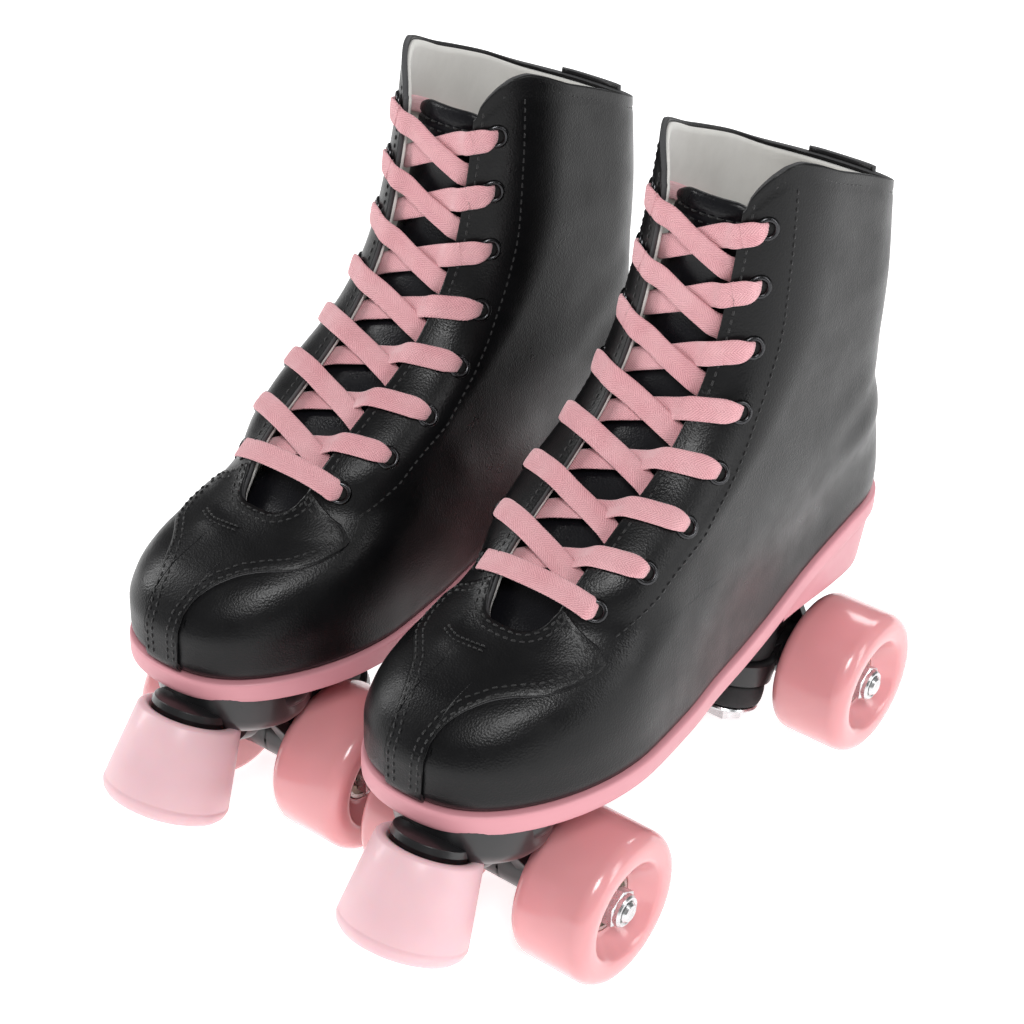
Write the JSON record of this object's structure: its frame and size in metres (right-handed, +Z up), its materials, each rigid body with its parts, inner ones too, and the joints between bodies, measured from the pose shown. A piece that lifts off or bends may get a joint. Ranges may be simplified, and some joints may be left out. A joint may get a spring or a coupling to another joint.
{
  "type": "quad roller skates",
  "caption": "Pair of high-top quad roller skates: black laced boots on pink soles, each with a plate, two sprung steering trucks, four free-rolling pink wheels and a pink toe stop.",
  "frame": {"origin": "middle of the pair's box, on the floor under the wheels", "axes": "+Z up, toes towards -Y, the wearer's left skate at +X"},
  "size_m": [0.2108, 0.284, 0.271],
  "materials": {
    "leather": "satin black fine-grained faux leather with black stitching",
    "lining": "off-white matt woven lining",
    "lace": "pink flat braided polyester",
    "sole": "pink moulded rubber, satin",
    "plate": "glossy black moulded nylon",
    "stop": "pale pink frosted polyurethane",
    "cushion": "black rubber, matt",
    "wheel": "glossy coral-pink polyurethane",
    "bearing": "shielded steel bearing, slightly olive",
    "hardware": "zinc-plated steel"
  },
  "bodies": {
    "left_boot": {"left_upper": "leather", "left_lining": "lining", "left_tongue": "leather", "left_lace": "lace", "left_outsole": "sole", "left_heel": "sole", "left_plate": "plate", "left_toe_stop": "stop", "left_front_kingpin": "hardware", "left_front_top_cushion": "cushion", "left_front_bottom_cushion": "cushion", "left_rear_kingpin": "hardware", "left_rear_top_cushion": "cushion", "left_rear_bottom_cushion": "cushion"},
    "left_front_truck": {"left_front_hanger": "plate", "left_front_axle": "hardware", "left_front_outer_nut": "hardware", "left_front_inner_nut": "hardware"},
    "left_front_outer_roller": {"left_front_outer_wheel": "wheel", "left_front_outer_bearing": "bearing"},
    "left_front_inner_roller": {"left_front_inner_wheel": "wheel", "left_front_inner_bearing": "bearing"},
    "left_rear_truck": {"left_rear_hanger": "plate", "left_rear_axle": "hardware", "left_rear_outer_nut": "hardware", "left_rear_inner_nut": "hardware"},
    "left_rear_outer_roller": {"left_rear_outer_wheel": "wheel", "left_rear_outer_bearing": "bearing"},
    "left_rear_inner_roller": {"left_rear_inner_wheel": "wheel", "left_rear_inner_bearing": "bearing"},
    "right_boot": {"right_upper": "leather", "right_lining": "lining", "right_tongue": "leather", "right_lace": "lace", "right_outsole": "sole", "right_heel": "sole", "right_plate": "plate", "right_toe_stop": "stop", "right_front_kingpin": "hardware", "right_front_top_cushion": "cushion", "right_front_bottom_cushion": "cushion", "right_rear_kingpin": "hardware", "right_rear_top_cushion": "cushion", "right_rear_bottom_cushion": "cushion"},
    "right_front_truck": {"right_front_hanger": "plate", "right_front_axle": "hardware", "right_front_outer_nut": "hardware", "right_front_inner_nut": "hardware"},
    "right_front_outer_roller": {"right_front_outer_wheel": "wheel", "right_front_outer_bearing": "bearing"},
    "right_front_inner_roller": {"right_front_inner_wheel": "wheel", "right_front_inner_bearing": "bearing"},
    "right_rear_truck": {"right_rear_hanger": "plate", "right_rear_axle": "hardware", "right_rear_outer_nut": "hardware", "right_rear_inner_nut": "hardware"},
    "right_rear_outer_roller": {"right_rear_outer_wheel": "wheel", "right_rear_outer_bearing": "bearing"},
    "right_rear_inner_roller": {"right_rear_inner_wheel": "wheel", "right_rear_inner_bearing": "bearing"}
  },
  "joints": [
    {"name": "right_skate_lift", "type": "slide", "parent": "left_boot", "child": "right_boot", "axis": [0, 0, 1], "range_m": [0, 0.3]},
    {"name": "left_front_steer", "type": "hinge", "parent": "left_boot", "child": "left_front_truck", "pos_m": [0.05515, -0.03333, 0.033], "axis": [0, -0.9355, 0.3534], "range_deg": [-8, 8], "stiffness_Nm_per_rad": 20, "deforming": ["left_front_top_cushion", "left_front_bottom_cushion"]},
    {"name": "left_front_outer_spin", "type": "hinge", "parent": "left_front_truck", "child": "left_front_outer_roller", "pos_m": [0.08915, -0.05883, 0.029], "axis": [1, 0, 0], "continuous": true},
    {"name": "left_front_inner_spin", "type": "hinge", "parent": "left_front_truck", "child": "left_front_inner_roller", "pos_m": [0.02115, -0.05883, 0.029], "axis": [1, 0, 0], "continuous": true},
    {"name": "left_rear_steer", "type": "hinge", "parent": "left_boot", "child": "left_rear_truck", "pos_m": [0.05515, 0.08317, 0.033], "axis": [0, 0.9355, 0.3534], "range_deg": [-8, 8], "stiffness_Nm_per_rad": 20, "deforming": ["left_rear_top_cushion", "left_rear_bottom_cushion"]},
    {"name": "left_rear_outer_spin", "type": "hinge", "parent": "left_rear_truck", "child": "left_rear_outer_roller", "pos_m": [0.08915, 0.10867, 0.029], "axis": [1, 0, 0], "continuous": true},
    {"name": "left_rear_inner_spin", "type": "hinge", "parent": "left_rear_truck", "child": "left_rear_inner_roller", "pos_m": [0.02115, 0.10867, 0.029], "axis": [1, 0, 0], "continuous": true},
    {"name": "right_front_steer", "type": "hinge", "parent": "right_boot", "child": "right_front_truck", "pos_m": [-0.05515, -0.03333, 0.033], "axis": [0, -0.9355, 0.3534], "range_deg": [-8, 8], "stiffness_Nm_per_rad": 20, "deforming": ["right_front_top_cushion", "right_front_bottom_cushion"]},
    {"name": "right_front_outer_spin", "type": "hinge", "parent": "right_front_truck", "child": "right_front_outer_roller", "pos_m": [-0.08915, -0.05883, 0.029], "axis": [1, 0, 0], "continuous": true},
    {"name": "right_front_inner_spin", "type": "hinge", "parent": "right_front_truck", "child": "right_front_inner_roller", "pos_m": [-0.02115, -0.05883, 0.029], "axis": [1, 0, 0], "continuous": true},
    {"name": "right_rear_steer", "type": "hinge", "parent": "right_boot", "child": "right_rear_truck", "pos_m": [-0.05515, 0.08317, 0.033], "axis": [0, 0.9355, 0.3534], "range_deg": [-8, 8], "stiffness_Nm_per_rad": 20, "deforming": ["right_rear_top_cushion", "right_rear_bottom_cushion"]},
    {"name": "right_rear_outer_spin", "type": "hinge", "parent": "right_rear_truck", "child": "right_rear_outer_roller", "pos_m": [-0.08915, 0.10867, 0.029], "axis": [1, 0, 0], "continuous": true},
    {"name": "right_rear_inner_spin", "type": "hinge", "parent": "right_rear_truck", "child": "right_rear_inner_roller", "pos_m": [-0.02115, 0.10867, 0.029], "axis": [1, 0, 0], "continuous": true}
  ]
}
